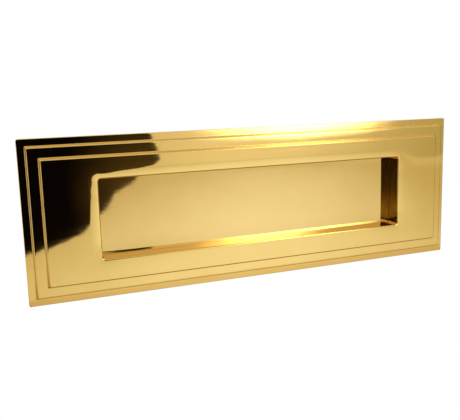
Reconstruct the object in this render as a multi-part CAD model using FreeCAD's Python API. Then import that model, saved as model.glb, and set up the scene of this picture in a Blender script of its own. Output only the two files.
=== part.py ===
import FreeCAD, Part

import math
import os

# Stepped, raised-centre letter plate for a front door, in cast and polished brass, with an inward
# opening sprung flap.  Millimetres.  X runs along the plate, Z is up and -Y is outdoors.  The origin is
# midway between the two fixing studs, in the plane of the plate's back rim, which bears on the door.

# Plate outline and the steps of its raised centre, each step given by how far it is set in from the edge
PLATE_LENGTH = 305.0
PLATE_HEIGHT = 102.0
OUTLINE_RADIUS = 1.2
FLANGE_THICK = 3.0
LOWER_RISER_FOOT = 4.5
LOWER_RISER_TOP = 5.3
LOWER_RISER_RISE = 3.6
UPPER_RISER_FOOT = 11.55
UPPER_RISER_TOP = 12.6
UPPER_RISER_RISE = 3.1
STEP_CORNER_RADIUS = 0.6
EDGE_SOFTENING = 0.45

# Hollow back of the casting
RIM_WIDTH = 8.6
UPPER_POCKET_INSET = 16.4
WALL_THICK = 3.2

# Letter opening, and the collar that lines it from the field back to the flap
APERTURE_LENGTH = 215.0
APERTURE_HEIGHT = 50.0
APERTURE_RADIUS = 1.6
APERTURE_EDGE_RADIUS = 1.5
COLLAR_WALL = 4.0
COLLAR_CORNER_RADIUS = 2.6
COLLAR_BACK = 1.5

# Flap
FLAP_GAP = 0.3
FLAP_THICK = 3.2
FLAP_OVERLAP = 3.5
FLAP_CORNER_RADIUS = 2.5
FLAP_EDGE_SOFTENING = 0.5

# Hinge: a plain rod through two lugs on the plate and two knuckles on the flap
HINGE_Y = 6.0
HINGE_Z = 34.0
ROD_RADIUS = 2.5
ROD_LENGTH = 196.0
LUG_BORE_RADIUS = 2.55
LUG_OUTSIDE_RADIUS = 5.0
LUG_INNER_X = 88.0
LUG_WIDTH = 6.0
KNUCKLE_BORE_RADIUS = 2.58
KNUCKLE_RADIUS = 4.2
KNUCKLE_INNER_X = 76.0
KNUCKLE_WIDTH = 10.6
WEB_FOOT_Z = 16.0
STOP_TAIL_LENGTH = 9.0
STOP_TAIL_THICK = 2.8
STOP_PAD_TOP_Z = 32.7
STOP_PAD_BACK_Y = 0.9
HINGE_WASHER_THICK = 1.0
HINGE_WASHER_RADIUS = 4.6
HINGE_WASHER_BORE = 2.6
HINGE_SIDE_PLAY = 0.2

# Retaining clips in grooves near the rod's ends
CLIP_THICK = 0.8
CLIP_RADIUS = 4.6
CLIP_BORE = 2.05
CLIP_MOUTH = 3.4
GROOVE_RADIUS = 2.0
GROOVE_CUTTER_RADIUS = 3.5
GROOVE_WIDTH = 1.0
GROOVE_X = 94.2

# Torsion springs, wound on the rod just inside the knuckles
WIRE_RADIUS = 0.75
COIL_RADIUS = 3.7
COIL_TURNS = 8
COIL_PITCH = 1.6
COIL_OUTER_X = 73.0
FLAP_LEG_FOOT_Z = 10.0
PLATE_LEG_FOOT_Z = 40.0
LEG_CLEARANCE = 0.1

# M6 fixing studs, screwed into bosses on the back, with a washer and nut for a 44 mm door
STUD_SPACING = 254.0
STUD_RADIUS = 3.0
THREAD_PITCH = 1.0
THREAD_DEPTH = 0.54
THREAD_SHORTFALL = 0.05
STUD_ROOT_LENGTH = 5.0
STUD_SHANK_LENGTH = 38.0
STUD_THREAD_LENGTH = 18.0
BOSS_RADIUS = 7.0
BOSS_HOLE_DEPTH = 5.6
DOOR_THICK = 44.0
NUT_ACROSS_FLATS = 10.0
NUT_THICK = 5.0
NUT_CHAMFER = 0.7
FIXING_WASHER_RADIUS = 9.0
FIXING_WASHER_BORE = 3.2
FIXING_WASHER_THICK = 1.6

# Rubber buffers let into the back of the collar, where the flap lands
BUFFER_RADIUS = 1.4
BUFFER_POCKET_RADIUS = 1.45
BUFFER_POCKET_DEPTH = 1.3
BUFFER_STAND = 0.2
BUFFER_BOTTOM_X = 88.0
BUFFER_SIDE_Z = -6.0

# Levels in Y and sizes that follow from the above
FLANGE_FRONT = -FLANGE_THICK
BAND_FRONT = FLANGE_FRONT - LOWER_RISER_RISE
FIELD_FRONT = BAND_FRONT - UPPER_RISER_RISE
BAND_POCKET_ROOF = BAND_FRONT + WALL_THICK
FIELD_POCKET_ROOF = FIELD_FRONT + WALL_THICK
FLAP_FRONT = COLLAR_BACK + FLAP_GAP
FLAP_BACK = FLAP_FRONT + FLAP_THICK
FLAP_HALF_LENGTH = APERTURE_LENGTH / 2 + FLAP_OVERLAP
FLAP_HALF_HEIGHT = APERTURE_HEIGHT / 2 + FLAP_OVERLAP
COLLAR_HALF_LENGTH = APERTURE_LENGTH / 2 + COLLAR_WALL
COLLAR_HALF_HEIGHT = APERTURE_HEIGHT / 2 + COLLAR_WALL
SIDES = {"left": -1, "right": 1}

# How near an edge has to lie to a level or a side to be counted as on it
NEAR = 1e-3


def outline(length, height, radius, y):
    """Closed wire: a rectangle with round corners, in the plane at y."""
    a = length / 2 - radius
    b = height / 2 - radius
    edges = []
    for turn, (x, z) in enumerate(((a, b), (-a, b), (-a, -b), (a, -b))):
        start = math.radians(90 * turn)
        points = []
        for step in (0, 45, 90):
            angle = start + math.radians(step)
            points.append(FreeCAD.Vector(x + radius * math.cos(angle), y, z + radius * math.sin(angle)))
        edges.append(Part.Arc(*points).toShape())
    wire = []
    for i, arc in enumerate(edges):
        following = edges[(i + 1) % 4]
        wire.append(arc)
        wire.append(Part.makeLine(arc.Vertexes[-1].Point, following.Vertexes[0].Point))
    return Part.Wire(wire)


def slab(length, height, radius, y_low, y_high):
    """Flat block with round corners, between two levels."""
    face = Part.Face(outline(length, height, radius, y_low))
    return face.extrude(FreeCAD.Vector(0, y_high - y_low, 0))


def inset_slab(inset, radius, y_low, y_high):
    return slab(PLATE_LENGTH - 2 * inset, PLATE_HEIGHT - 2 * inset, radius, y_low, y_high)


def riser(foot_inset, top_inset, y_foot, y_top):
    """Raised step whose four sides lean in from foot to top."""
    wires = []
    for inset, y in ((foot_inset, y_foot), (top_inset, y_top)):
        size = (PLATE_LENGTH - 2 * inset, PLATE_HEIGHT - 2 * inset)
        wires.append(outline(*size, STEP_CORNER_RADIUS, y))
    return Part.makeLoft(wires, True, True)


def x_cylinder(radius, x_start, length, y=HINGE_Y, z=HINGE_Z):
    """Cylinder along X, on the hinge axis unless told otherwise."""
    return Part.makeCylinder(radius, length, FreeCAD.Vector(x_start, y, z), FreeCAD.Vector(1, 0, 0))


def y_cylinder(radius, x, z, y_low, y_high):
    start = FreeCAD.Vector(x, y_low, z)
    return Part.makeCylinder(radius, y_high - y_low, start, FreeCAD.Vector(0, 1, 0))


def x_prism(points, x_start, width):
    """Prism along X from an outline of (y, z) points."""
    corners = [FreeCAD.Vector(x_start, y, z) for y, z in points]
    face = Part.Face(Part.makePolygon(corners + corners[:1]))
    return face.extrude(FreeCAD.Vector(width, 0, 0))


def span(side, inner_x, width):
    """Low end, in X, of a piece that lies width outwards from inner_x on one side of the plate."""
    return inner_x if side > 0 else -inner_x - width


def soften(shape, level, half_length, half_height, radius):
    """Round the edges of one outline that lies in the plane at level."""
    chosen = []
    for edge in shape.Edges:
        box = edge.BoundBox
        flat = abs(box.YMin - level) < NEAR and abs(box.YMax - level) < NEAR
        on_side = abs(max(abs(box.XMin), abs(box.XMax)) - half_length) < NEAR
        on_top = abs(max(abs(box.ZMin), abs(box.ZMax)) - half_height) < NEAR
        inside = box.XMax < half_length + NEAR and box.ZMax < half_height + NEAR
        if flat and inside and (on_side or on_top):
            chosen.append(edge)
    return shape.makeFillet(radius, chosen)


def buffer_places():
    """Centres of the buffers: two on the collar's bottom rail and one on each side rail."""
    rail = COLLAR_WALL / 2
    bottom = -(APERTURE_HEIGHT / 2 + rail)
    side_x = APERTURE_LENGTH / 2 + rail
    places = []
    for side in SIDES.values():
        places.append((side * BUFFER_BOTTOM_X, bottom))
        places.append((side * side_x, BUFFER_SIDE_Z))
    return places


def make_plate_face():
    """The stepped front, before it is hollowed from behind."""
    flange = inset_slab(0, OUTLINE_RADIUS, FLANGE_FRONT, 0)
    lower = riser(LOWER_RISER_FOOT, LOWER_RISER_TOP, FLANGE_FRONT, BAND_FRONT)
    upper = riser(UPPER_RISER_FOOT, UPPER_RISER_TOP, BAND_FRONT, FIELD_FRONT)
    face = flange.fuse([lower, upper]).removeSplitter()
    for inset, level in ((0, FLANGE_FRONT), (LOWER_RISER_TOP, BAND_FRONT), (UPPER_RISER_TOP, FIELD_FRONT)):
        face = soften(face, level, PLATE_LENGTH / 2 - inset, PLATE_HEIGHT / 2 - inset, EDGE_SOFTENING)
    return face


def make_hinge_lug(side):
    """Lug on the back of the plate that carries one end of the hinge rod."""
    x = span(side, LUG_INNER_X, LUG_WIDTH)
    post = x_prism(
        (
            (FIELD_POCKET_ROOF, COLLAR_HALF_HEIGHT),
            (FIELD_POCKET_ROOF, HINGE_Z + LUG_OUTSIDE_RADIUS),
            (HINGE_Y, HINGE_Z + LUG_OUTSIDE_RADIUS),
            (HINGE_Y, COLLAR_HALF_HEIGHT),
        ),
        x,
        LUG_WIDTH,
    )
    return post.fuse(x_cylinder(LUG_OUTSIDE_RADIUS, x, LUG_WIDTH))


def make_stop_pad(side):
    """Pad on top of the collar that the flap's tail meets when the flap is fully open."""
    points = (
        (FIELD_POCKET_ROOF, COLLAR_HALF_HEIGHT),
        (FIELD_POCKET_ROOF, STOP_PAD_TOP_Z),
        (STOP_PAD_BACK_Y, STOP_PAD_TOP_Z),
        (STOP_PAD_BACK_Y, COLLAR_HALF_HEIGHT),
    )
    return x_prism(points, span(side, KNUCKLE_INNER_X, KNUCKLE_WIDTH), KNUCKLE_WIDTH)


def make_front_plate():
    plate = make_plate_face()
    pocket = inset_slab(RIM_WIDTH, OUTLINE_RADIUS, BAND_POCKET_ROOF, 0)
    upper_pocket = inset_slab(UPPER_POCKET_INSET, OUTLINE_RADIUS, FIELD_POCKET_ROOF, 0)
    plate = plate.cut([pocket, upper_pocket])
    collar_size = (2 * COLLAR_HALF_LENGTH, 2 * COLLAR_HALF_HEIGHT)
    collar = slab(*collar_size, COLLAR_CORNER_RADIUS, FIELD_POCKET_ROOF, COLLAR_BACK)
    additions = [collar]
    removals = []
    for side in SIDES.values():
        stud_x = side * STUD_SPACING / 2
        additions.append(y_cylinder(BOSS_RADIUS, stud_x, 0, FIELD_POCKET_ROOF, 0))
        additions.append(make_hinge_lug(side))
        additions.append(make_stop_pad(side))
        removals.append(y_cylinder(STUD_RADIUS, stud_x, 0, -BOSS_HOLE_DEPTH, 0))
        removals.append(x_cylinder(LUG_BORE_RADIUS, span(side, LUG_INNER_X, LUG_WIDTH), LUG_WIDTH))
    pocket_floor = COLLAR_BACK - BUFFER_POCKET_DEPTH
    for x, z in buffer_places():
        removals.append(y_cylinder(BUFFER_POCKET_RADIUS, x, z, pocket_floor, COLLAR_BACK))
    aperture = slab(APERTURE_LENGTH, APERTURE_HEIGHT, APERTURE_RADIUS, FIELD_FRONT, COLLAR_BACK)
    removals.append(aperture)
    plate = plate.fuse(additions).cut(removals).removeSplitter()
    half = (APERTURE_LENGTH / 2, APERTURE_HEIGHT / 2)
    return soften(plate, FIELD_FRONT, *half, APERTURE_EDGE_RADIUS)


def make_knuckle(side):
    """Flap knuckle with its web down the flap's back and the tail that stops the flap when open."""
    x = span(side, KNUCKLE_INNER_X, KNUCKLE_WIDTH)
    web = x_prism(
        (
            (FLAP_FRONT, HINGE_Z),
            (HINGE_Y + KNUCKLE_RADIUS, HINGE_Z),
            (FLAP_BACK, WEB_FOOT_Z),
            (FLAP_FRONT, WEB_FOOT_Z),
        ),
        x,
        KNUCKLE_WIDTH,
    )
    tail = x_prism(
        (
            (HINGE_Y - STOP_TAIL_THICK / 2, HINGE_Z),
            (HINGE_Y - STOP_TAIL_THICK / 2, HINGE_Z + STOP_TAIL_LENGTH),
            (HINGE_Y + STOP_TAIL_THICK / 2, HINGE_Z + STOP_TAIL_LENGTH),
            (HINGE_Y + STOP_TAIL_THICK / 2, HINGE_Z),
        ),
        x,
        KNUCKLE_WIDTH,
    )
    return x_cylinder(KNUCKLE_RADIUS, x, KNUCKLE_WIDTH).fuse([web, tail])


def make_flap():
    half = (FLAP_HALF_LENGTH, FLAP_HALF_HEIGHT)
    panel = slab(2 * half[0], 2 * half[1], FLAP_CORNER_RADIUS, FLAP_FRONT, FLAP_BACK)
    panel = soften(panel, FLAP_FRONT, *half, FLAP_EDGE_SOFTENING)
    knuckles = [make_knuckle(side) for side in SIDES.values()]
    bore = x_cylinder(KNUCKLE_BORE_RADIUS, -ROD_LENGTH / 2, ROD_LENGTH)
    return panel.fuse(knuckles).cut(bore).removeSplitter()


def make_hinge_rod():
    rod = x_cylinder(ROD_RADIUS, -ROD_LENGTH / 2, ROD_LENGTH)
    ends = [edge for edge in rod.Edges if abs(abs(edge.BoundBox.Center.x) - ROD_LENGTH / 2) < NEAR]
    rod = rod.makeChamfer(EDGE_SOFTENING, ends)
    for side in SIDES.values():
        x = span(side, GROOVE_X, GROOVE_WIDTH)
        ring = x_cylinder(GROOVE_CUTTER_RADIUS, x, GROOVE_WIDTH)
        rod = rod.cut(ring.cut(x_cylinder(GROOVE_RADIUS, x, GROOVE_WIDTH)))
    return rod


def make_rod_clip(side):
    """Open ring that snaps into the rod's groove from below."""
    x = span(side, GROOVE_X + (GROOVE_WIDTH - CLIP_THICK) / 2, CLIP_THICK)
    ring = x_cylinder(CLIP_RADIUS, x, CLIP_THICK).cut(x_cylinder(CLIP_BORE, x, CLIP_THICK))
    corner = FreeCAD.Vector(x, HINGE_Y - CLIP_MOUTH / 2, HINGE_Z - CLIP_RADIUS)
    return ring.cut(Part.makeBox(CLIP_THICK, CLIP_MOUTH, CLIP_RADIUS, corner))


def make_hinge_washer(side):
    x = span(side, LUG_INNER_X - HINGE_SIDE_PLAY - HINGE_WASHER_THICK, HINGE_WASHER_THICK)
    return x_cylinder(HINGE_WASHER_RADIUS, x, HINGE_WASHER_THICK).cut(
        x_cylinder(HINGE_WASHER_BORE, x, HINGE_WASHER_THICK)
    )


def leg_angle(foot_y, foot_z, way):
    """Angle about the hinge axis at which the straight leg to a foot touches the coil."""
    across = foot_y - HINGE_Y
    up = foot_z - HINGE_Z
    return math.atan2(up, across) + way * math.acos(COIL_RADIUS / math.hypot(across, up))


def make_spring(side):
    """Torsion spring: the outer leg lies on the flap's back, the inner leg on the plate's pocket roof."""
    flap_foot = (FLAP_BACK + WIRE_RADIUS + LEG_CLEARANCE, FLAP_LEG_FOOT_Z)
    plate_foot = (BAND_POCKET_ROOF + WIRE_RADIUS + LEG_CLEARANCE, PLATE_LEG_FOOT_Z)
    begin = leg_angle(*flap_foot, 1)
    end = leg_angle(*plate_foot, -1)
    turns = COIL_TURNS + ((end - begin) / (2 * math.pi)) % 1
    climb = COIL_PITCH / (2 * math.pi * COIL_RADIUS)

    helix = Part.makeHelix(COIL_PITCH, turns * COIL_PITCH, COIL_RADIUS)
    helix.rotate(FreeCAD.Vector(), FreeCAD.Vector(0, 0, 1), math.degrees(begin))
    helix.rotate(FreeCAD.Vector(), FreeCAD.Vector(1, 1, 1), 120)
    helix.translate(FreeCAD.Vector(-COIL_OUTER_X, HINGE_Y, HINGE_Z))

    def leg(x, angle, foot, way):
        """Straight leg along the coil's own tangent, from where it leaves the coil to its foot."""
        out = FreeCAD.Vector(0, math.cos(angle), math.sin(angle))
        along = FreeCAD.Vector(climb, -math.sin(angle), math.cos(angle))
        touch = FreeCAD.Vector(x, HINGE_Y, HINGE_Z) + out * COIL_RADIUS
        length = math.sqrt((foot[0] - HINGE_Y) ** 2 + (foot[1] - HINGE_Z) ** 2 - COIL_RADIUS**2)
        return touch, touch + along * (way * length)

    coil_inner_x = -COIL_OUTER_X + turns * COIL_PITCH
    flap_touch, flap_end = leg(-COIL_OUTER_X, begin, flap_foot, -1)
    plate_touch, plate_end = leg(coil_inner_x, end, plate_foot, 1)
    edges = [Part.makeLine(flap_end, flap_touch), *helix.Edges, Part.makeLine(plate_touch, plate_end)]
    path = Part.Wire(edges)
    section = Part.Wire(Part.makeCircle(WIRE_RADIUS, flap_end, flap_touch - flap_end))
    sweep = Part.BRepOffsetAPI.MakePipeShell(path)
    sweep.setBiNormalMode(FreeCAD.Vector(1, 0, 0))
    sweep.add(section)
    sweep.build()
    sweep.makeSolid()
    spring = sweep.shape()
    if side > 0:
        spring = spring.mirror(FreeCAD.Vector(), FreeCAD.Vector(1, 0, 0))
    return spring


def thread(x, z, y_low, y_high, radius):
    """Solid of revolution along Y with V ridges of the stud's pitch, starting and ending in a root."""
    root = radius - THREAD_DEPTH
    ridges = round((y_high - y_low) / THREAD_PITCH)
    pitch = (y_high - y_low) / ridges
    points = [FreeCAD.Vector(x, y_low, z), FreeCAD.Vector(x + root, y_low, z)]
    for i in range(ridges):
        points.append(FreeCAD.Vector(x + radius, y_low + (i + 0.5) * pitch, z))
        points.append(FreeCAD.Vector(x + root, y_low + (i + 1) * pitch, z))
    points.append(FreeCAD.Vector(x, y_high, z))
    points.append(points[0])
    face = Part.Face(Part.makePolygon(points))
    return face.revolve(FreeCAD.Vector(x, 0, z), FreeCAD.Vector(0, 1, 0), 360)


def make_fixing_stud(side):
    """Double-ended stud: short thread in the boss, plain shank through the door, long thread for the nut."""
    x = side * STUD_SPACING / 2
    crest = STUD_RADIUS - THREAD_SHORTFALL
    shank = y_cylinder(STUD_RADIUS, x, 0, 0, STUD_SHANK_LENGTH)
    root_end = thread(x, 0, -STUD_ROOT_LENGTH, 0, crest)
    nut_end = thread(x, 0, STUD_SHANK_LENGTH, STUD_SHANK_LENGTH + STUD_THREAD_LENGTH, crest)
    return shank.fuse([root_end, nut_end]).removeSplitter()


def make_fixing_washer(side):
    x = side * STUD_SPACING / 2
    disc = y_cylinder(FIXING_WASHER_RADIUS, x, 0, DOOR_THICK, DOOR_THICK + FIXING_WASHER_THICK)
    return disc.cut(y_cylinder(FIXING_WASHER_BORE, x, 0, DOOR_THICK, DOOR_THICK + FIXING_WASHER_THICK))


def make_fixing_nut(side):
    """Hexagon nut with its outer corners chamfered off at both faces."""
    x = side * STUD_SPACING / 2
    y_low = DOOR_THICK + FIXING_WASHER_THICK
    corner = NUT_ACROSS_FLATS / math.sqrt(3)
    points = []
    for i in range(7):
        angle = math.radians(60 * i)
        points.append(FreeCAD.Vector(x + corner * math.cos(angle), y_low, corner * math.sin(angle)))
    hexagon = Part.Face(Part.makePolygon(points)).extrude(FreeCAD.Vector(0, NUT_THICK, 0))
    round_blank = y_cylinder(corner, x, 0, y_low, y_low + NUT_THICK)
    rims = [edge for edge in round_blank.Edges if isinstance(edge.Curve, Part.Circle)]
    round_blank = round_blank.makeChamfer(NUT_CHAMFER, rims)
    bore = y_cylinder(STUD_RADIUS, x, 0, y_low, y_low + NUT_THICK)
    return hexagon.common(round_blank).cut(bore)


def make_buffers():
    """Four rubber buttons that stand just proud of the collar's back."""
    low = COLLAR_BACK - BUFFER_POCKET_DEPTH
    high = COLLAR_BACK + BUFFER_STAND
    return Part.makeCompound([y_cylinder(BUFFER_RADIUS, x, z, low, high) for x, z in buffer_places()])


def save(name, shape):
    shape.exportStep(os.path.join("parts", name + ".step"))


def main():
    os.makedirs("parts", exist_ok=True)
    save("front_plate", make_front_plate())
    save("flap", make_flap())
    save("hinge_rod", make_hinge_rod())
    save("flap_buffers", make_buffers())
    pairs = {
        "rod_clip": make_rod_clip,
        "hinge_washer": make_hinge_washer,
        "torsion_spring": make_spring,
        "fixing_stud": make_fixing_stud,
        "fixing_washer": make_fixing_washer,
        "fixing_nut": make_fixing_nut,
    }
    for name, make in pairs.items():
        for word, side in SIDES.items():
            save(name + "_" + word, make(side))


main()
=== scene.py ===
"""Looks of the brass letter plate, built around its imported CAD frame.

Metres, in the shared frame: X along the plate, +Y into the door, Z up, and -Y is outdoors.
"""

import math

import bmesh
import bpy
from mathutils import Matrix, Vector


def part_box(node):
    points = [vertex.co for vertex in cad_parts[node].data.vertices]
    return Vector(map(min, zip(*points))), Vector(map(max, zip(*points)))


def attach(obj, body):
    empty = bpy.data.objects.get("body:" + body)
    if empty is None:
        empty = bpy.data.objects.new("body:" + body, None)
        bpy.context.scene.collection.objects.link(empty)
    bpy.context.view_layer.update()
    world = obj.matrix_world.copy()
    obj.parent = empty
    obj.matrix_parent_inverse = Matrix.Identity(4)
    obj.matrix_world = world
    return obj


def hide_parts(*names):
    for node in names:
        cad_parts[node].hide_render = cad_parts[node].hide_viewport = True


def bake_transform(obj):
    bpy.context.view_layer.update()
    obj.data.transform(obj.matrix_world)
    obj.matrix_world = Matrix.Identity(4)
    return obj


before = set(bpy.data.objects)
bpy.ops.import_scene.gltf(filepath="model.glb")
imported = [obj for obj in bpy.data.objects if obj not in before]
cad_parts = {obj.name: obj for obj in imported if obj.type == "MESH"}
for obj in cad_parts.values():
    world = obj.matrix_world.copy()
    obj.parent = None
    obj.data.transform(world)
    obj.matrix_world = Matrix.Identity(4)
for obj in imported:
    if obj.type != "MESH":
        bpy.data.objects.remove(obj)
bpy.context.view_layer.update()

MM = 0.001
SIDES = {"left": -1, "right": 1}

# ---------------------------------------------------------------- driving sizes, as in the design
plate_low, plate_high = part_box("front_plate")
PLATE_HALF = Vector((plate_high.x, plate_high.z))
FLANGE = 3.0 * MM
BAND = 6.6 * MM
FIELD = -plate_low.y
APERTURE_HALF = Vector((107.5, 25.0)) * MM
COLLAR_BACK = 1.5 * MM
COLLAR_WALL = 4.0 * MM
RIM_WIDTH = 8.6 * MM
UPPER_POCKET_INSET = 16.4 * MM
BAND_ROOF = 3.4 * MM
FIELD_ROOF = 6.5 * MM

FLAP_HALF = Vector((111.0, 28.5)) * MM
FLAP_FRONT = 1.71 * MM
FLAP_BACK = 5.0 * MM
FLAP_CORNER = 2.5 * MM
FLAP_BULGE = 0.1 * MM
FLAP_DISH = 0.26 * MM
FLAP_DISH_HEIGHT = 10 * MM

HINGE_Y = 6.0 * MM
HINGE_Z = 34.0 * MM
KNUCKLE_X = (76.0 * MM, 86.6 * MM)
KNUCKLE_RADIUS = 4.2 * MM
KNUCKLE_BORE = 2.58 * MM
LUG_X = (88.0 * MM, 94.0 * MM)
LUG_RADIUS = 5.0 * MM
LUG_BORE = 2.55 * MM
WEB_FOOT_Z = 16.0 * MM
WEB_ANGLE = math.radians(-16)
TAIL_LENGTH = 9.0 * MM
TAIL_HALF = 1.4 * MM
STOP_PAD_TOP = 32.7 * MM
STOP_PAD_BACK = 0.9 * MM

STUD_X = 127.0 * MM
STUD_RADIUS = 3.0 * MM
STUD_ROOT_LENGTH = 5.0 * MM
STUD_SHANK_LENGTH = 38.0 * MM
STUD_END = 56.0 * MM
THREAD_PITCH = 1.0 * MM
THREAD_DEPTH = 0.54 * MM
THREAD_CLEARANCE = 0.02 * MM
STUD_TIP = 0.7 * MM
BOSS_RADIUS = 7.0 * MM
BOSS_HOLE_DEPTH = 5.6 * MM
BOSS_ROOT = 7.2 * MM
BOSS_FOOT = 1.2 * MM
HOLE_CHAMFER = 0.35 * MM
RIM_CORNER = 1.4 * MM

WIRE_RADIUS = 0.75 * MM
COIL_RADIUS = 3.7 * MM
COIL_TURNS = 8
COIL_PITCH = 1.6 * MM
COIL_OUTER_X = 73.0 * MM
TURN_STEPS = 36
FLAP_LEG_STEPS = 12
PLATE_LEG_STEPS = 6
FLAP_LEG_FOOT = (5.85 * MM, 10.0 * MM)
PLATE_LEG_FOOT = (-2.55 * MM, 40.0 * MM)

# How finely outlines and round edges are divided
LONG_STEPS = 90
SHORT_STEPS = 30
CORNER_STEPS = 6
EDGE_STEPS = 6


# ---------------------------------------------------------------- materials
class Nodes:
    """A material's node tree, with short ways to add and join nodes."""

    def __init__(self, name):
        self.material = bpy.data.materials.new(name)
        self.material.use_nodes = True
        self.tree = self.material.node_tree
        self.shader = self.tree.nodes["Principled BSDF"]

    def add(self, kind, **values):
        node = self.tree.nodes.new("ShaderNode" + kind)
        for key, value in values.items():
            if key in node.inputs:
                node.inputs[key].default_value = value
            else:
                setattr(node, key, value)
        return node

    def link(self, source, target):
        self.tree.links.new(source, target)

    def set(self, **values):
        for key, value in values.items():
            self.shader.inputs[key.replace("_", " ")].default_value = value

    def noise(self, scale, detail=3.0, stretch=(1, 1, 1), roughness=0.55):
        """Noise in the object's own metres, stretched along an axis where stretch is small."""
        place = self.add("TexCoord")
        size = self.add("Mapping", Scale=stretch)
        texture = self.add("TexNoise", Scale=scale, Detail=detail, Roughness=roughness)
        self.link(place.outputs["Object"], size.inputs["Vector"])
        self.link(size.outputs["Vector"], texture.inputs["Vector"])
        return texture.outputs["Fac"]

    def between(self, factor, low, high):
        """A value that goes from low to high with the middle of a noise."""
        span = self.add("MapRange")
        span.inputs["From Min"].default_value = 0.3
        span.inputs["From Max"].default_value = 0.7
        span.inputs["To Min"].default_value = low
        span.inputs["To Max"].default_value = high
        self.link(factor, span.inputs["Value"])
        return span.outputs["Result"]

    def colour_between(self, factor, low, high):
        mix = self.add("MixRGB")
        mix.inputs["Color1"].default_value = (*low, 1)
        mix.inputs["Color2"].default_value = (*high, 1)
        self.link(self.between(factor, 0, 1), mix.inputs["Fac"])
        return mix.outputs["Color"]

    def bump(self, layers):
        """Bump from (height output, distance in metres) layers, laid over each other."""
        normal = None
        for height, distance in layers:
            node = self.add("Bump", Distance=distance, Strength=1.0)
            self.link(height, node.inputs["Height"])
            if normal:
                self.link(normal, node.inputs["Normal"])
            normal = node.outputs["Normal"]
        self.link(normal, self.shader.inputs["Normal"])


def polished_brass(name, low, high, roughness, streak):
    """Mirror-polished brass: faint polishing streaks, slow tone changes and a trace of waviness."""
    brass = Nodes(name)
    brass.set(Metallic=1.0)
    tone = brass.noise(28, 4)
    brass.link(brass.colour_between(tone, low, high), brass.shader.inputs["Base Color"])
    streaks = brass.noise(900, 4, (0.06, 1, 1), 0.65)
    brass.link(brass.between(streaks, *roughness), brass.shader.inputs["Roughness"])
    brass.bump([(brass.noise(38, 1.5), 0.00006), (streaks, streak)])
    return brass.material


def cast_brass(name, low, high):
    """As-cast brass of the hollow back: sand grain, dull and darker in patches."""
    brass = Nodes(name)
    brass.set(Metallic=1.0)
    patches = brass.noise(45, 6)
    grain = brass.noise(1500, 5, (1, 1, 1), 0.7)
    brass.link(brass.colour_between(patches, low, high), brass.shader.inputs["Base Color"])
    brass.link(brass.between(patches, 0.62, 0.42), brass.shader.inputs["Roughness"])
    brass.bump([(brass.noise(300, 3), 0.00016), (grain, 0.00012)])
    return brass.material


def linished_brass(name, low, high, stretch=(0.03, 1, 1)):
    """Belt-ground brass with fine scratches along one direction."""
    brass = Nodes(name)
    brass.set(Metallic=1.0)
    scratches = brass.noise(2600, 5, stretch, 0.7)
    brass.link(brass.colour_between(scratches, low, high), brass.shader.inputs["Base Color"])
    brass.link(brass.between(scratches, 0.24, 0.4), brass.shader.inputs["Roughness"])
    brass.bump([(scratches, 0.00003)])
    return brass.material


def steel(name, low, high, roughness, stretch=(1, 1, 1), scale=900, depth=0.00001):
    metal = Nodes(name)
    metal.set(Metallic=1.0)
    fine = metal.noise(scale, 4, stretch, 0.6)
    metal.link(metal.colour_between(metal.noise(120, 5), low, high), metal.shader.inputs["Base Color"])
    metal.link(metal.between(fine, *roughness), metal.shader.inputs["Roughness"])
    metal.bump([(fine, depth)])
    return metal.material


def rubber(name):
    soft = Nodes(name)
    soft.set(Metallic=0.0)
    grain = soft.noise(2500, 4)
    soft.link(soft.colour_between(grain, (0.012, 0.012, 0.013), (0.03, 0.03, 0.032)),
              soft.shader.inputs["Base Color"])
    soft.link(soft.between(grain, 0.6, 0.8), soft.shader.inputs["Roughness"])
    soft.bump([(grain, 0.00003)])
    return soft.material


PLATE_POLISHED = polished_brass("plate_polished", (0.85, 0.57, 0.165), (0.89, 0.61, 0.185),
                                (0.03, 0.06), 0.000003)
FLAP_POLISHED = polished_brass("flap_polished", (0.84, 0.57, 0.18), (0.88, 0.60, 0.20),
                               (0.03, 0.06), 0.000004)
# Risers: polished brass painted paler, as painted light for the light they catch; its higher roughness gives
# them a satin finish
STEP_PAINTED_LIGHT = polished_brass("step_painted_light", (0.89, 0.66, 0.27), (0.93, 0.71, 0.31),
                               (0.34, 0.42), 0.000003)
# Walls inside the opening: polished brass painted darker and more orange, as painted shade; a little rougher
# too
WALL_PAINTED_SHADE = polished_brass("wall_painted_shade", (0.70, 0.39, 0.075), (0.76, 0.43, 0.09),
                               (0.16, 0.24), 0.000003)
AS_CAST = cast_brass("brass_as_cast", (0.42, 0.27, 0.10), (0.62, 0.43, 0.17))
LINISHED = linished_brass("brass_linished", (0.70, 0.48, 0.19), (0.80, 0.56, 0.24))
DRAWN = steel("brass_drawn", (0.72, 0.50, 0.20), (0.80, 0.57, 0.24), (0.16, 0.28), (0.03, 1, 1), 1800)
STAMPED = steel("brass_stamped", (0.72, 0.51, 0.21), (0.79, 0.57, 0.25), (0.2, 0.34))
SPRING_STEEL = steel("spring_steel", (0.30, 0.30, 0.31), (0.42, 0.42, 0.43), (0.2, 0.34))
ZINC = steel("zinc_plate", (0.58, 0.60, 0.63), (0.72, 0.73, 0.74), (0.22, 0.36), (1, 1, 1), 500)
RUBBER = rubber("rubber")


# ---------------------------------------------------------------- mesh helpers
def rounded(corners, steps=EDGE_STEPS):
    """Points of a section whose corners (inset, height, radius) are rounded with arcs."""
    points = []
    for i, (u, v, radius) in enumerate(corners):
        here = Vector((u, v))
        if radius == 0:
            points.append(here)
            continue
        before = (Vector(corners[i - 1][:2]) - here).normalized()
        after = (Vector(corners[i + 1][:2]) - here).normalized()
        half = before.angle(after) / 2
        turn = math.pi - 2 * half
        centre = here + (before + after).normalized() * (radius / math.sin(half))
        start = here + before * (radius / math.tan(half)) - centre
        end = here + after * (radius / math.tan(half)) - centre
        for step in range(steps + 1):
            share = step / steps
            arm = start * math.sin((1 - share) * turn) + end * math.sin(share * turn)
            points.append(centre + arm / math.sin(turn))
    return points


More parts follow.
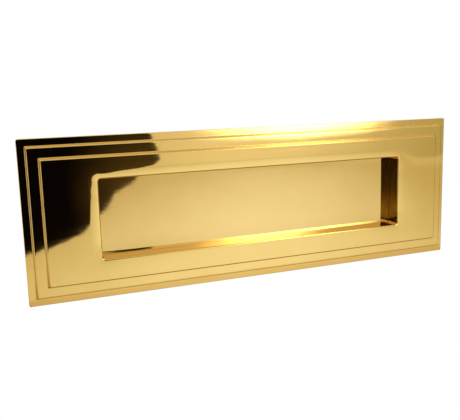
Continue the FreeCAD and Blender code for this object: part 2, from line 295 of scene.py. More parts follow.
def subdivided(points, longest):
    """The same section with its long flats divided."""
    out = [points[0]]
    for a, b in zip(points, points[1:]):
        count = max(1, math.ceil((b - a).length / longest))
        out.extend(a.lerp(b, (k + 1) / count) for k in range(count))
    return out


def ring(half_length, half_height, radius, y):
    """Rectangle with round corners in the plane at y, always with the same number of points."""
    a = half_length - radius
    b = half_height - radius
    corners = ((a, b), (-a, b), (-a, -b), (a, -b))
    points = []
    for turn, (x, z) in enumerate(corners):
        for step in range(CORNER_STEPS + 1):
            angle = math.radians(90 * (turn + step / CORNER_STEPS))
            points.append(Vector((x + radius * math.cos(angle), y, z + radius * math.sin(angle))))
        following = corners[(turn + 1) % 4]
        start = points[-1]
        angle = math.radians(90 * (turn + 1))
        end = Vector((following[0] + radius * math.cos(angle), y, following[1] + radius * math.sin(angle)))
        count = SHORT_STEPS if turn % 2 else LONG_STEPS
        points.extend(start.lerp(end, k / count) for k in range(1, count))
    return points


def stitch(rings, closed):
    """Vertices and quads that join each ring to the next."""
    size = len(rings[0])
    vertices = [p for points in rings for p in points]
    quads = []
    for i in range(len(rings) if closed else len(rings) - 1):
        low = i * size
        high = (i + 1) % len(rings) * size
        for k in range(size):
            after = (k + 1) % size
            quads.append((low + k, low + after, high + after, high + k))
    return vertices, quads


def new_piece(name, vertices, faces, materials, face_materials=None):
    """Mesh object with outward normals, smooth faces and sharp edges where it really turns."""
    mesh = bpy.data.meshes.new(name)
    mesh.from_pydata(vertices, [], faces)
    for material in materials:
        mesh.materials.append(material)
    if face_materials:
        mesh.polygons.foreach_set("material_index", face_materials)
    shape = bmesh.new()
    shape.from_mesh(mesh)
    bmesh.ops.remove_doubles(shape, verts=shape.verts, dist=1e-7)
    bmesh.ops.dissolve_degenerate(shape, dist=1e-8, edges=shape.edges)
    bmesh.ops.recalc_face_normals(shape, faces=shape.faces)
    shape.to_mesh(mesh)
    shape.free()
    piece = bpy.data.objects.new(name, mesh)
    bpy.context.scene.collection.objects.link(piece)
    shade(piece)
    return piece


def shade(piece, sharp_degrees=34):
    mesh = piece.data
    mesh.shade_smooth()
    mesh.set_sharp_from_angle(angle=math.radians(sharp_degrees))


def settle(piece):
    """Apply the piece's modifiers to its mesh."""
    graph = bpy.context.evaluated_depsgraph_get()
    final = bpy.data.meshes.new_from_object(piece.evaluated_get(graph))
    old = piece.data
    piece.modifiers.clear()
    piece.data = final
    bpy.data.meshes.remove(old)


def flatten(piece):
    """Keep flats truly flat to the eye: the bigger faces decide the shading at each vertex."""
    modifier = piece.modifiers.new("flatten", "WEIGHTED_NORMAL")
    modifier.mode = "FACE_AREA"
    modifier.weight = 80
    modifier.keep_sharp = True
    settle(piece)


def bevel(piece, width, segments=3):
    modifier = piece.modifiers.new("bevel", "BEVEL")
    modifier.width = width
    modifier.segments = segments
    modifier.limit_method = "ANGLE"
    modifier.angle_limit = math.radians(30)
    settle(piece)
    return piece


def combine(piece, operation, tools):
    """Join tools to the piece, or cut them from it, and remove them."""
    for tool in tools:
        modifier = piece.modifiers.new("combine", "BOOLEAN")
        modifier.operation = operation
        modifier.solver = "EXACT"
        modifier.object = tool
        modifier.material_mode = "TRANSFER"
    bpy.context.view_layer.update()
    settle(piece)
    for tool in tools:
        bpy.data.objects.remove(tool)
    shade(piece)


def prism(points, x_low, x_high, material, edge=0.4 * MM):
    """Bevelled prism along X from an outline of (y, z) points."""
    low = [Vector((x_low, y, z)) for y, z in points]
    high = [Vector((x_high, y, z)) for y, z in points]
    count = len(points)
    faces = [tuple(range(count)), tuple(reversed(range(count, 2 * count)))]
    for i in range(count):
        after = (i + 1) % count
        faces.append((i, count + i, count + after, after))
    piece = new_piece("prism", low + high, faces, [material])
    return bevel(piece, edge)


def turned(profile, origin, axis, material, steps=48):
    """Solid of revolution from (radius, distance) points; axis is "x" or "y"."""
    rings = []
    for radius, along in profile:
        points = []
        for k in range(steps):
            angle = 2 * math.pi * k / steps
            c, s = radius * math.cos(angle), radius * math.sin(angle)
            points.append(Vector((along, c, s) if axis == "x" else (c, along, s)) + Vector(origin))
        rings.append(points)
    vertices, faces = stitch(rings, False)
    return new_piece("turned", vertices, faces, [material])


def x_rod(radius, x_low, x_high, material, edge=0.0):
    """Plain or edge-rounded cylinder along the hinge axis."""
    profile = [(0, x_low), (radius, x_low), (radius, x_high), (0, x_high)]
    if edge:
        profile = [(0, x_low)]
        profile += [tuple(p) for p in rounded(((0, x_low, 0), (radius, x_low, edge), (radius, x_high, edge),
                                               (0, x_high, 0)), 4)[1:]]
    return turned(profile, (0, HINGE_Y, HINGE_Z), "x", material)


def mirrored(low, high, side):
    return (low, high) if side > 0 else (-high, -low)


# ---------------------------------------------------------------- front plate
STEEP = 0.4
# The last row of faces that belongs to the flange's own side and its round edge
LAST_SIDE_ROW = 6
WALL_DEPTH_STEP = 1.6 * MM
OPENING_CORNER = 1.6 * MM
FIELD_CROWN = 0.03 * MM
BAND_CROWN = 0.008 * MM
APERTURE_DUB = 6.5 * MM
APERTURE_DROP = 0.42 * MM
APERTURE_EDGE = 0.7 * MM
END_DUB = 20.0 * MM
END_DROP = 0.3 * MM
END_CORNER = 10.0 * MM
EDGE_KEPT = 0.75


def crowned(points, level, crown):
    """Raise the flats at one level a little towards their middle, as polishing leaves them."""
    flats = [p for p in points if abs(p.y - level) < 1e-9]
    low, high = min(p.x for p in flats), max(p.x for p in flats)
    for p in flats:
        across = 2 * (p.x - low) / (high - low) - 1
        p.y += crown * (1 - across * across)


def end_fall(x, z):
    """How far the field falls towards the opening's two ends, where it was polished most."""
    past = abs(x) - APERTURE_HALF.x
    over = max(0.0, abs(z) - APERTURE_HALF.y + END_CORNER)
    return END_DROP * max(0.0, 1 - math.hypot(past, over) / END_DUB) ** 2


def edge_fall(away):
    """How far the field falls just outside the opening, where buffing has rounded it over."""
    return APERTURE_DROP * max(0.0, 1 - away / APERTURE_DUB) ** 2


def kept_edge(away, x, z):
    """The part of that fall that the two edges buffed least, the lower and the right one, don't have."""
    low = min(1.0, max(0.0, (-z - APERTURE_HALF.y + END_CORNER) / END_CORNER))
    right = min(1.0, max(0.0, (x - APERTURE_HALF.x + END_CORNER) / END_CORNER))
    return EDGE_KEPT * max(low, right) * edge_fall(away)


# How far in from the plate's edge the front's two risers start and end
LOWER_RISER = (4.5 * MM, 5.3 * MM)
UPPER_RISER = (11.55 * MM, 12.6 * MM)
STEP_SECTION_END = 14.5 * MM
FIELD_START = 15.0 * MM
FLANGE_CORNER = 1.2 * MM
STEP_CORNER = 0.8 * MM


def outer_rings():
    """Rings over the flange, the two risers and the bands, from the back edge to the field."""
    field_edge = FIELD - FIELD_CROWN
    section = rounded((
        (0, 0, 0),
        (0, FLANGE, 0.3 * MM),
        (LOWER_RISER[0], FLANGE, 0.3 * MM),
        (LOWER_RISER[1], BAND, 0.5 * MM),
        (UPPER_RISER[0], BAND, 0.3 * MM),
        (UPPER_RISER[1], field_edge, 0.5 * MM),
        (STEP_SECTION_END, field_edge, 0),
    ))
    section = subdivided(section, 0.7 * MM)
    crowned(section, BAND, BAND_CROWN)
    rings = []
    for inset, height in section:
        radius = FLANGE_CORNER if inset < 1 * MM else STEP_CORNER
        rings.append(ring(PLATE_HALF.x - inset, PLATE_HALF.y - inset, radius, -height))
    return rings


WALL_STEPS = 4


def aperture_section():
    """(distance outside the opening, height) over the field's dubbed inner edge and into the opening."""
    points = []
    steps = 20
    for k in range(steps + 1):
        away = APERTURE_DUB * (1 - k / steps)
        if away < APERTURE_EDGE:
            break
        points.append(Vector((away, FIELD - edge_fall(away))))
    last = points[-1]
    slope = 2 * APERTURE_DROP / APERTURE_DUB * (1 - last.x / APERTURE_DUB)
    start = math.atan(slope)
    for k in range(1, EDGE_STEPS + 3):
        angle = start + (math.pi / 2 - start) * k / (EDGE_STEPS + 2)
        across = (math.sin(angle) - math.sin(start)) / (1 - math.sin(start))
        down = (math.cos(start) - math.cos(angle)) / math.cos(start)
        points.append(Vector((last.x * (1 - across), last.y - APERTURE_EDGE * down)))
    return points


def field_rings():
    """Rings across the crowned field, then over its inner edge and down the opening's wall."""
    outer = Vector((PLATE_HALF.x - FIELD_START, PLATE_HALF.y - FIELD_START))
    inner = Vector((APERTURE_HALF.x + APERTURE_DUB, APERTURE_HALF.y + APERTURE_DUB))
    rings = []
    steps = 12
    for k in range(1, steps):
        share = k / steps
        half = outer.lerp(inner, share)
        radius = (0.8 + share * 5.0) * MM
        height = FIELD - FIELD_CROWN * (1 - share) ** 2
        rings.append(ring(half.x, half.y, radius, -height))
    section = aperture_section()
    wall = section[-1]
    section += [Vector((0, wall.y - k * WALL_DEPTH_STEP)) for k in range(1, WALL_STEPS + 1)]
    for away, height in section:
        points = ring(APERTURE_HALF.x + away, APERTURE_HALF.y + away, OPENING_CORNER + away, -height)
        for p in points:
            p.y -= kept_edge(away, p.x, p.z)
        rings.append(points)
    for points in rings:
        for p in points:
            p.y += end_fall(p.x, p.z)
    return rings


def back_rings():
    """Rings round the collar's back edge, over the stepped pocket and across the rim."""
    rings = []
    collar = rounded((
        (0, 4 * MM, 0),
        (0, -COLLAR_BACK, 0.08 * MM),
        (COLLAR_WALL, -COLLAR_BACK, 0.5 * MM),
        (COLLAR_WALL, FIELD_ROOF, 1.0 * MM),
        (COLLAR_WALL + 2 * MM, FIELD_ROOF, 0),
    ), 4)[1:]
    for away, height in collar:
        rings.append(ring(APERTURE_HALF.x + away, APERTURE_HALF.y + away, OPENING_CORNER + away / 3, -height))
    pocket = rounded((
        (UPPER_POCKET_INSET + 2 * MM, FIELD_ROOF, 0),
        (UPPER_POCKET_INSET, FIELD_ROOF, 0.9 * MM),
        (UPPER_POCKET_INSET, BAND_ROOF, 0.6 * MM),
        (RIM_WIDTH, BAND_ROOF, 0.9 * MM),
        (RIM_WIDTH, 0, 0.3 * MM),
        (0.2 * MM, 0, 0),
        (0, 0.2 * MM, 0),
    ), 4)
    for inset, height in pocket:
        rings.append(ring(PLATE_HALF.x - inset, PLATE_HALF.y - inset, RIM_CORNER, -height))
    return rings


# The front plate's materials, in the order of its list of them
POLISHED, CAST, GROUND, RISER, WALL = range(5)


def make_front_plate():
    outer = outer_rings()[1:]
    front = outer + field_rings()
    back = back_rings()
    vertices, faces = stitch(front + back, True)
    size = len(front[0])
    wall = len(front) - WALL_STEPS - 1
    rim = len(front) + len(back) - 4
    looks = []
    for face in faces:
        row = face[0] // size
        if row < len(outer) - 1:
            here, beyond = vertices[face[0]], vertices[face[3]]
            run = abs(beyond.x - here.x) + abs(beyond.z - here.z)
            # Steep faces of the two risers get the paler brass: painted light
            riser = row > LAST_SIDE_ROW and abs(beyond.y - here.y) > STEEP * run
            looks.append(RISER if riser else POLISHED)
        elif row < wall:
            looks.append(POLISHED)
        elif row < len(front):
            # The opening's side and top walls get the darker brass as painted shade; its bottom wall keeps
            # the plain polished brass
            unshaded_sill = vertices[face[0]].z < 1 * MM - APERTURE_HALF.y
            looks.append(POLISHED if unshaded_sill else WALL)
        else:
            looks.append(GROUND if rim <= row < rim + 2 else CAST)
    materials = [PLATE_POLISHED, AS_CAST, LINISHED, STEP_PAINTED_LIGHT, WALL_PAINTED_SHADE]
    plate = new_piece("front_plate_visual", vertices, faces, materials, looks)
    additions, cuts = [], []
    for side in SIDES.values():
        additions.append(make_boss(side))
        additions.append(make_lug(side))
        additions.append(make_stop_pad(side))
        cuts.append(make_stud_hole(side))
        low, high = mirrored(LUG_X[0] - MM, LUG_X[1] + MM, side)
        cuts.append(x_rod(LUG_BORE, low, high, LINISHED))
    combine(plate, "UNION", additions)
    combine(plate, "DIFFERENCE", cuts)
    flatten(plate)
    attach(plate, "plate")
    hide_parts("front_plate")


def make_boss(side):
    """Drafted boss with a cast fillet at its root and a faced end."""
    profile = rounded((
        (0, -BOSS_ROOT, 0),
        (BOSS_RADIUS + BOSS_FOOT, -BOSS_ROOT, 0),
        (BOSS_RADIUS + BOSS_FOOT, -FIELD_ROOF, 0),
        (BOSS_RADIUS + 0.2 * MM, -FIELD_ROOF + 1.0 * MM, 0.8 * MM),
        (BOSS_RADIUS, 0, 0.4 * MM),
        (0, 0, 0),
    ), 4)
    return turned([tuple(p) for p in profile], (side * STUD_X, 0, 0), "y", AS_CAST)


def make_stud_hole(side):
    mouth = STUD_RADIUS + HOLE_CHAMFER
    profile = [(0, -BOSS_HOLE_DEPTH), (STUD_RADIUS, -BOSS_HOLE_DEPTH), (STUD_RADIUS, -HOLE_CHAMFER),
               (mouth, 0), (mouth, 1 * MM), (0, 1 * MM)]
    return turned(profile, (side * STUD_X, 0, 0), "y", LINISHED)


# Lugs and stop pads stand this far into the pocket's roof and the collar
ROOT = 0.5 * MM
ROOT_Y = -FIELD_ROOF - ROOT
ROOT_Z = APERTURE_HALF.y + COLLAR_WALL - ROOT


def make_lug(side):
    """Lug that carries the hinge rod: a post from the pocket, rounded at its free end."""
    low, high = mirrored(*LUG_X, side)
    outline = [(ROOT_Y, ROOT_Z), (ROOT_Y, HINGE_Z + LUG_RADIUS), (HINGE_Y, HINGE_Z + LUG_RADIUS)]
    steps = 12
    for k in range(1, steps):
        angle = math.pi / 2 - math.pi * k / steps
        outline.append((HINGE_Y + LUG_RADIUS * math.cos(angle), HINGE_Z + LUG_RADIUS * math.sin(angle)))
    outline.append((HINGE_Y, HINGE_Z - LUG_RADIUS))
    outline.append((0, ROOT_Z))
    return prism(outline, low, high, AS_CAST)


def make_stop_pad(side):
    """Pad above the collar that the flap's tail meets when the flap is fully open."""
    low, high = mirrored(*KNUCKLE_X, side)
    outline = [(ROOT_Y, ROOT_Z), (ROOT_Y, STOP_PAD_TOP), (STOP_PAD_BACK, STOP_PAD_TOP),
               (STOP_PAD_BACK, ROOT_Z)]
    return prism(outline, low, high, AS_CAST)


# ---------------------------------------------------------------- flap
def panel_cap(half_length, half_height, y, depth):
    """Grid that closes a square-cornered ring; depth(x, z) moves each point along Y."""
    rows = []
    for j in range(SHORT_STEPS + 1):
        z = half_height * (2 * j / SHORT_STEPS - 1)
        row = []
        for i in range(LONG_STEPS + 1):
            x = half_length * (2 * i / LONG_STEPS - 1)
            row.append(Vector((x, y + depth(x, z), z)))
        rows.append(row)
    return rows


def flap_bulge(x, z):
    """How far the polished front lies behind its edge: a shallow pillow, dished in above its lower edge."""
    across = min(1.0, abs(x) / FLAP_HALF.x)
    up = min(1.0, abs(z) / FLAP_HALF.y)
    pillow = -FLAP_BULGE * (1 - across**4) * (1 - up**2)
    above = min(2 * APERTURE_HALF.y, max(0.0, z + APERTURE_HALF.y)) - FLAP_DISH_HEIGHT
    span = FLAP_DISH_HEIGHT if above < 0 else 2 * APERTURE_HALF.y - FLAP_DISH_HEIGHT
    return pillow + FLAP_DISH * (1 - across**12) * (1 - (above / span) ** 2)


FLAP_BORDER = 6 * MM


def make_flap():
    edge = rounded((
        (FLAP_BORDER, FLAP_FRONT, 0),
        (0, FLAP_FRONT, 0.6 * MM),
        (0, FLAP_BACK, 0.5 * MM),
        (FLAP_BORDER, FLAP_BACK, 0),
    ), 5)
    edge = subdivided(edge, 1.0 * MM)
    rings = []
    for inset, y in edge:
        radius = max(0.0, FLAP_CORNER - inset / 2)
        if inset >= FLAP_BORDER - 1e-9:
            radius = 0.0
        rings.append(ring(FLAP_HALF.x - inset, FLAP_HALF.y - inset, radius, y))
    vertices, faces = stitch(rings, False)
    looks = [0 if vertices[f[0]].y < FLAP_FRONT + 1.0 * MM else 1 for f in faces]
    for p in vertices:
        front_share = max(0.0, min(1.0, (FLAP_BACK - p.y) / (FLAP_BACK - FLAP_FRONT)))
        p.y += flap_bulge(p.x, p.z) * front_share
    half = (FLAP_HALF.x - FLAP_BORDER, FLAP_HALF.y - FLAP_BORDER)
    for y, depth, look in ((FLAP_FRONT, flap_bulge, 0), (FLAP_BACK, lambda x, z: 0.0, 1)):
        rows = panel_cap(*half, y, depth)
        base = len(vertices)
        width = LONG_STEPS + 1
        vertices += [p for row in rows for p in row]
        for j in range(SHORT_STEPS):
            for i in range(LONG_STEPS):
                corner = base + j * width + i
                faces.append((corner, corner + 1, corner + width + 1, corner + width))
                looks.append(look)
    flap = new_piece("flap_visual", vertices, faces, [FLAP_POLISHED, LINISHED, AS_CAST], looks)
    additions, cuts = [], []
    for side in SIDES.values():
        low, high = mirrored(*KNUCKLE_X, side)
        additions.append(make_knuckle(low, high))
        cuts.append(x_rod(KNUCKLE_BORE, low - MM, high + MM, LINISHED))
    combine(flap, "UNION", additions)
    combine(flap, "DIFFERENCE", cuts)
    flatten(flap)
    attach(flap, "flap")
    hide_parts("flap")


def on_knuckle(angle):
    return HINGE_Y + KNUCKLE_RADIUS * math.cos(angle), HINGE_Z + KNUCKLE_RADIUS * math.sin(angle)


def make_knuckle(low, high):
    """Knuckle, its web down the flap's back and its stop tail, in one outline."""
    outline = [(FLAP_FRONT + 1 * MM, WEB_FOOT_Z), (FLAP_BACK, WEB_FOOT_Z)]
    steps = 20
    tail_angle = math.asin(TAIL_HALF / KNUCKLE_RADIUS)
    first = WEB_ANGLE
    last = math.pi / 2 - tail_angle
    for k in range(steps + 1):
        angle = first + (last - first) * k / steps
        outline.append(on_knuckle(angle))
    outline += [(HINGE_Y + TAIL_HALF, HINGE_Z + TAIL_LENGTH), (HINGE_Y - TAIL_HALF, HINGE_Z + TAIL_LENGTH)]
    first = math.pi / 2 + tail_angle
    last = math.pi
    for k in range(steps // 2 + 1):
        angle = first + (last - first) * k / (steps // 2)
        outline.append(on_knuckle(angle))
    outline.append((FLAP_FRONT + 0.05 * MM, FLAP_HALF.y - 2 * MM))
    return prism(outline, low, high, AS_CAST, 0.35 * MM)


# ---------------------------------------------------------------- springs and studs
def leg_angle(foot, way):
    """Where on the coil a straight leg to the foot leaves it, on one side or the other."""
    across = foot[0] - HINGE_Y
    up = foot[1] - HINGE_Z
    return math.atan2(up, across) + way * math.acos(COIL_RADIUS / math.hypot(across, up))


def tube(name, path, radius, material, steps=14):
    """Round wire along a path of points, with rounded ends."""
    rings = []
    side = None
    for i, here in enumerate(path):
        ahead = (path[min(i + 1, len(path) - 1)] - path[max(i - 1, 0)]).normalized()
        side = (side - ahead * side.dot(ahead)).normalized() if side else ahead.orthogonal().normalized()
        up = ahead.cross(side)
        scales = [(1.0, 0.0)]
        if i == 0:
            scales = [(0.0, -0.25), (0.55, -0.2), (0.85, -0.1), (1.0, 0.0)]
        if i == len(path) - 1:
            scales = [(1.0, 0.0), (0.85, 0.1), (0.55, 0.2), (0.0, 0.25)]
        for scale, shift in scales:
            centre = here + ahead * (shift * radius)
            points = []
            for k in range(steps):
                angle = 2 * math.pi * k / steps
                points.append(centre + (side * math.cos(angle) + up * math.sin(angle)) * (radius * scale))
            rings.append(points)
    vertices, faces = stitch(rings, False)
    return new_piece(name, vertices, faces, [material])


def make_spring(word, side):
    begin = leg_angle(FLAP_LEG_FOOT, 1)
    end = leg_angle(PLATE_LEG_FOOT, -1)
    turns = COIL_TURNS + ((end - begin) / (2 * math.pi)) % 1
    climb = COIL_PITCH / (2 * math.pi * COIL_RADIUS)
    inner_x = -COIL_OUTER_X + turns * COIL_PITCH

    def on_coil(x, angle):
        return Vector((x, HINGE_Y + COIL_RADIUS * math.cos(angle), HINGE_Z + COIL_RADIUS * math.sin(angle)))

    def leg_end(x, angle, foot, way):
        along = Vector((climb, -math.sin(angle), math.cos(angle)))
        reach = math.hypot(foot[0] - HINGE_Y, foot[1] - HINGE_Z)
        return on_coil(x, angle) + along * (way * math.sqrt(reach**2 - COIL_RADIUS**2))

    path = []
    foot = leg_end(-COIL_OUTER_X, begin, FLAP_LEG_FOOT, -1)
    touch = on_coil(-COIL_OUTER_X, begin)
    path += [foot.lerp(touch, k / FLAP_LEG_STEPS) for k in range(FLAP_LEG_STEPS)]
    steps = round(turns * TURN_STEPS)
    for k in range(steps + 1):
        share = k / steps
        path.append(on_coil(-COIL_OUTER_X + share * turns * COIL_PITCH, begin + share * turns * 2 * math.pi))
    touch = path[-1]
    foot = leg_end(inner_x, end, PLATE_LEG_FOOT, 1)
    path += [touch.lerp(foot, k / PLATE_LEG_STEPS) for k in range(1, PLATE_LEG_STEPS + 1)]
    if side > 0:
        path = [Vector((-p.x, p.y, p.z)) for p in path]
    spring = tube("torsion_spring_" + word + "_visual", path, WIRE_RADIUS, SPRING_STEEL)
    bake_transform(spring)
    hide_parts("torsion_spring_" + word)


def make_stud(word, side):
    """Stud with rolled threads at both ends, run out smoothly at the shank and at the tips."""
    steps = 32
    rows = []
    fine = THREAD_PITCH / 8
    low, high = -STUD_ROOT_LENGTH, STUD_END
    y = low
    while y < high + fine / 2:
        rows.append(min(y, high))
        y += fine if y < fine / 2 or y >= STUD_SHANK_LENGTH - fine / 2 else 2 * MM
    rings = [[Vector((side * STUD_X, low, 0))] * steps]
    for y in rows:
        threaded = max(-y / THREAD_PITCH, (y - STUD_SHANK_LENGTH) / THREAD_PITCH)
        depth = THREAD_DEPTH * max(0.0, min(1.0, threaded))
        tip = min(y - low, high - y)
        limit = STUD_RADIUS - max(0.0, STUD_TIP - tip)
        points = []
        for k in range(steps):
            angle = 2 * math.pi * k / steps
            phase = 2 * math.pi * y / THREAD_PITCH - angle
            radius = STUD_RADIUS - THREAD_CLEARANCE - depth * (0.5 - 0.5 * math.cos(phase))
            radius = min(radius, limit)
            points.append(Vector((side * STUD_X + radius * math.cos(angle), y, radius * math.sin(angle))))
        rings.append(points)
    rings.append([Vector((side * STUD_X, high, 0))] * steps)
    vertices, faces = stitch(rings, False)
    stud = new_piece("fixing_stud_" + word + "_visual", vertices, faces, [ZINC])
    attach(stud, "plate")
    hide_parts("fixing_stud_" + word)


# ---------------------------------------------------------------- carried-over nodes
def dress(node, material):
    """Give a node that keeps its designed shape its material."""
    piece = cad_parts[node]
    piece.data.materials.clear()
    piece.data.materials.append(material)


def dress_nodes():
    dress("hinge_rod", DRAWN)
    dress("flap_buffers", RUBBER)
    for word in SIDES:
        dress("rod_clip_" + word, SPRING_STEEL)
        dress("hinge_washer_" + word, STAMPED)
        dress("fixing_washer_" + word, ZINC)
        dress("fixing_nut_" + word, ZINC)


# ---------------------------------------------------------------- studio
CAMERA_PLACE = (-0.1578, -0.3772, 0.0734)
CAMERA_TURN = (80.65, 1.64, -20.57)
CAMERA_LENS = 47.48
CAMERA_SHIFT = (-0.0042, -0.0352)


def make_camera():
    data = bpy.data.cameras.new("camera")
    data.lens = CAMERA_LENS
    data.sensor_width = 36
    data.shift_x, data.shift_y = CAMERA_SHIFT
    data.clip_start = 0.01
    camera = bpy.data.objects.new("camera", data)
    camera.location = CAMERA_PLACE
    camera.rotation_euler = [math.radians(a) for a in CAMERA_TURN]
    bpy.context.scene.collection.objects.link(camera)
    bpy.context.scene.camera = camera


def stage_sheet(name, points, material, hidden):
    mesh = bpy.data.meshes.new(name)
    mesh.from_pydata(points, [], [tuple(range(len(points)))])
    mesh.materials.append(material)
    sheet = bpy.data.objects.new(name, mesh)
    sheet.visible_camera = not hidden
    bpy.context.scene.collection.objects.link(sheet)
    return sheet


def glow(name, strength, colour=(1, 1, 1)):
    """Plain emission, for a lit white surface."""
    light = Nodes(name)
    light.set(Roughness=1.0, Emission_Strength=strength)
    light.shader.inputs["Base Color"].default_value = (0, 0, 0, 1)
    light.shader.inputs["Specular IOR Level"].default_value = 0.0
    light.shader.inputs["Emission Color"].default_value = (*colour, 1)
    return light.material


def soft_glow(name, strength):
    """Light panel that fades out towards its edges."""
    light = Nodes(name)
    light.tree.nodes.remove(light.shader)
    place = light.add("TexCoord")
    fall = light.add("TexGradient", gradient_type="SPHERICAL")
    soft = light.add("MapRange", interpolation_type="SMOOTHERSTEP")
    soft.inputs["To Max"].default_value = 1.0
    clear = light.add("BsdfTransparent")
    lit = light.add("Emission", Strength=strength)
    mix = light.add("MixShader")
    light.link(place.outputs["Object"], fall.inputs["Vector"])
    light.link(fall.outputs["Fac"], soft.inputs["Value"])
    light.link(soft.outputs["Result"], mix.inputs["Fac"])
    light.link(clear.outputs["BSDF"], mix.inputs[1])
    light.link(lit.outputs["Emission"], mix.inputs[2])
    light.link(mix.outputs["Shader"], light.tree.nodes["Material Output"].inputs["Surface"])
    return light.material


FLAG_Y = -0.385
FLAG_OUTLINE = (
    (0.0215, 0.003, 0.003), (0.014, -0.012, 0.008), (0.000, -0.029, 0.004), (-0.012, -0.042, 0.008),
    (-0.032, -0.053, 0.010), (-0.043, -0.072, 0.010), (-0.064, -0.087, 0.02), (-0.098, -0.095, 0.02),
    (-0.150, -0.113, 0.03), (-0.900, -0.135, 0), (-0.900, 0.160, 0), (-0.100, 0.160, 0.02),
    (-0.055, 0.055, 0.02), (0.008, 0.046, 0), (0.0215, 0.0035, 0),
)
# Each light's place, half width and half height, and strength
LIGHTS = {
    "light_panel": ((0.180, -0.400, 0.085), (0.13, 0.08), 4.6),
    "light_strip": ((0.235, -0.401, 0.034), (0.190, 0.034), 6.5),
    "top_light": ((0.300, -0.402, 0.360), (0.17, 0.20), 8.0),
}
WALL_CORNERS = ((-0.10, -0.031), (1.40, -0.031), (1.40, 0.35), (-0.10, 0.35))
WALL_Y = -0.41
FLOOR_Z = plate_low.z
FLOOR_FRONT_LEFT = (-2.0, -0.90)
FLOOR_FRONT_RIGHT = (2.5, -0.18)
FLOOR_BACK = 2.0
LIT_FLOOR_Z = -0.15
LIT_FLOOR_FRONT = ((-2.5, -1.45), (3.5, -0.85))
LIT_FLOOR_BACK = -0.323
UNDER_FRONT = -0.26
POOL_MIDDLE = (0.17, -0.42, LIT_FLOOR_Z)
POOL_REACH = (0.45, 1.60, 1.0)
POOL_TURN = 27.0


def pool_glow(name, middle, reach, turn, bright, dim):
    """White surface with a soft pool of light on it, warmer and dimmer away from the pool."""
    light = Nodes(name)
    light.tree.nodes.remove(light.shader)
    place = light.add("TexCoord")
    size = light.add("Mapping", vector_type="TEXTURE", Location=middle, Scale=reach)
    size.inputs["Rotation"].default_value = (0, 0, math.radians(turn))
    fall = light.add("TexGradient", gradient_type="SPHERICAL")
    soft = light.add("MapRange", interpolation_type="SMOOTHSTEP")
    mix = light.add("MixRGB", Color1=(*dim, 1), Color2=(*bright, 1))
    lit = light.add("Emission", Strength=1.0)
    light.link(place.outputs["Object"], size.inputs["Vector"])
    light.link(size.outputs["Vector"], fall.inputs["Vector"])
    light.link(fall.outputs["Fac"], soft.inputs["Value"])
    light.link(soft.outputs["Result"], mix.inputs["Fac"])
    light.link(mix.outputs["Color"], lit.inputs["Color"])
    light.link(lit.outputs["Emission"], light.tree.nodes["Material Output"].inputs["Surface"])
    return light.material


# The sheets round the object that its brass reflects: where they lie, and their colours near and far
FLOOR_EDGE = 1.5
UNDER_CARD_X = (-0.6, 0.8)
UNDER_BACK = 0.10
RIGHT_CARD_X = 0.55
RIGHT_CARD_Y = (-0.38, 0.20)
RIGHT_CARD_Z = (-0.25, 0.30)
LEFT_CARD_X = -0.50
LEFT_CARD_Y = (-0.35, 0.35)
LEFT_CARD_Z = (-0.40, 0.02)
WARM = (1.0, 0.72, 0.42)
FLOOR_WHITE, EDGE_WHITE, WALL_WHITE = (1.07, 1.14, 1.34), (0.88, 0.84, 0.80), (0.96, 0.96, 1.02)
FLOOR_FAR, EDGE_FAR, WALL_FAR = (0.64, 0.60, 0.46), (0.55, 0.47, 0.31), (0.54, 0.52, 0.40)
FLAG_NEAR, FLAG_FAR = (0.072, 0.052, 0.024), (0.003, 0.002, 0.002)
FLAG_MIDDLE, FLAG_REACH = (0.0, FLAG_Y, -0.03), (0.10, 1.0, 0.11)
WALL_MIDDLE, WALL_REACH = (0.16, WALL_Y, 0.05), (0.34, 1.0, 0.6)


def level_sheet(name, left, right, back, z, material, hidden):
    """Level sheet with its front corners at left and right (x, y), and its far edge at y = back."""
    corners = [(*left, z), (*right, z), (right[0], back, z), (left[0], back, z)]
    return stage_sheet(name, corners, material, hidden)


def side_card(name, x, y_span, z_span, material):
    """Upright card that faces the object from one side."""
    (near, far), (low, high) = y_span, z_span
    return stage_sheet(name, [(x, near, low), (x, far, low), (x, far, high), (x, near, high)], material, True)


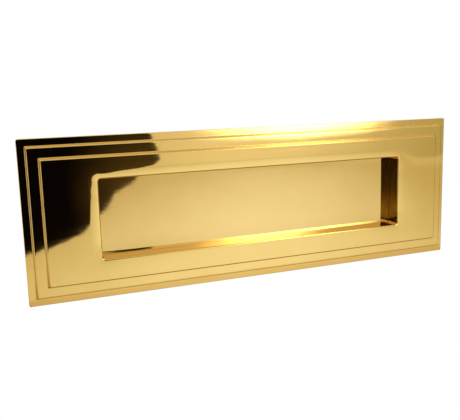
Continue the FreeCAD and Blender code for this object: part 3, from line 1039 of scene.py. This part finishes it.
def make_stage():
    floor = level_sheet("floor", FLOOR_FRONT_LEFT, FLOOR_FRONT_RIGHT, FLOOR_BACK, FLOOR_Z,
                        glow("floor_white", 1.0), False)
    floor.visible_glossy = False
    level_sheet("lit_floor", *LIT_FLOOR_FRONT, LIT_FLOOR_BACK, LIT_FLOOR_Z,
                pool_glow("floor_pool", POOL_MIDDLE, POOL_REACH, POOL_TURN, FLOOR_WHITE, FLOOR_FAR), True)
    stage_sheet("dark_flag", [(p.x, FLAG_Y, p.y) for p in rounded(FLAG_OUTLINE)],
                pool_glow("flag_tone", FLAG_MIDDLE, FLAG_REACH, 0, FLAG_NEAR, FLAG_FAR), True)
    stage_sheet("room_wall", [(x, WALL_Y, z) for x, z in WALL_CORNERS],
                pool_glow("wall_glow", WALL_MIDDLE, WALL_REACH, 0, WALL_WHITE, WALL_FAR), True)
    level_sheet("floor_edge", (-FLOOR_EDGE, LIT_FLOOR_BACK), (FLOOR_EDGE, LIT_FLOOR_BACK), UNDER_FRONT,
                LIT_FLOOR_Z,
                pool_glow("edge_pool", POOL_MIDDLE, POOL_REACH, POOL_TURN, EDGE_WHITE, EDGE_FAR), True)
    under_left, under_right = UNDER_CARD_X
    level_sheet("under_card", (under_left, UNDER_FRONT), (under_right, UNDER_FRONT), UNDER_BACK, LIT_FLOOR_Z,
                glow("under_tone", 0.42, WARM), True)
    side_card("right_card", RIGHT_CARD_X, RIGHT_CARD_Y, RIGHT_CARD_Z, glow("right_tone", 0.12, WARM))
    side_card("left_card", LEFT_CARD_X, LEFT_CARD_Y, LEFT_CARD_Z, glow("card_glow", 1.0))
    for name, (place, half, strength) in LIGHTS.items():
        panel = stage_sheet(name, [(-1, 0, -1), (1, 0, -1), (1, 0, 1), (-1, 0, 1)],
                            soft_glow(name + "_glow", strength), True)
        panel.location = place
        panel.scale = (half[0], 1, half[1])


def make_world():
    """White behind the object, and a softly lit room for what the brass reflects."""
    world = bpy.data.worlds.new("room")
    bpy.context.scene.world = world
    world.use_nodes = True
    tree = world.node_tree
    tree.nodes.clear()
    add = lambda kind: tree.nodes.new("ShaderNode" + kind)
    place, split, ramp = add("TexCoord"), add("SeparateXYZ"), add("ValToRGB")
    seen, mix = add("LightPath"), add("MixRGB")
    back, out = add("Background"), add("OutputWorld")
    shift = add("MapRange")
    shift.inputs["From Min"].default_value = -1
    tree.links.new(place.outputs["Generated"], split.inputs["Vector"])
    tree.links.new(split.outputs["Y"], shift.inputs["Value"])
    tree.links.new(shift.outputs["Result"], ramp.inputs["Fac"])
    low, high = ramp.color_ramp.elements
    low.position, low.color = 0.40, (0.72, 0.70, 0.62, 1)
    high.position, high.color = 0.60, (0.95, 0.94, 0.90, 1)
    tree.links.new(seen.outputs["Is Camera Ray"], mix.inputs["Fac"])
    tree.links.new(ramp.outputs["Color"], mix.inputs["Color1"])
    mix.inputs["Color2"].default_value = (1, 1, 1, 1)
    tree.links.new(mix.outputs["Color"], back.inputs["Color"])
    tree.links.new(back.outputs["Background"], out.inputs["Surface"])


make_camera()
make_front_plate()
make_flap()
for word, side in SIDES.items():
    make_spring(word, side)
    make_stud(word, side)
dress_nodes()
make_stage()
make_world()
bpy.context.scene.view_settings.view_transform = "Standard"
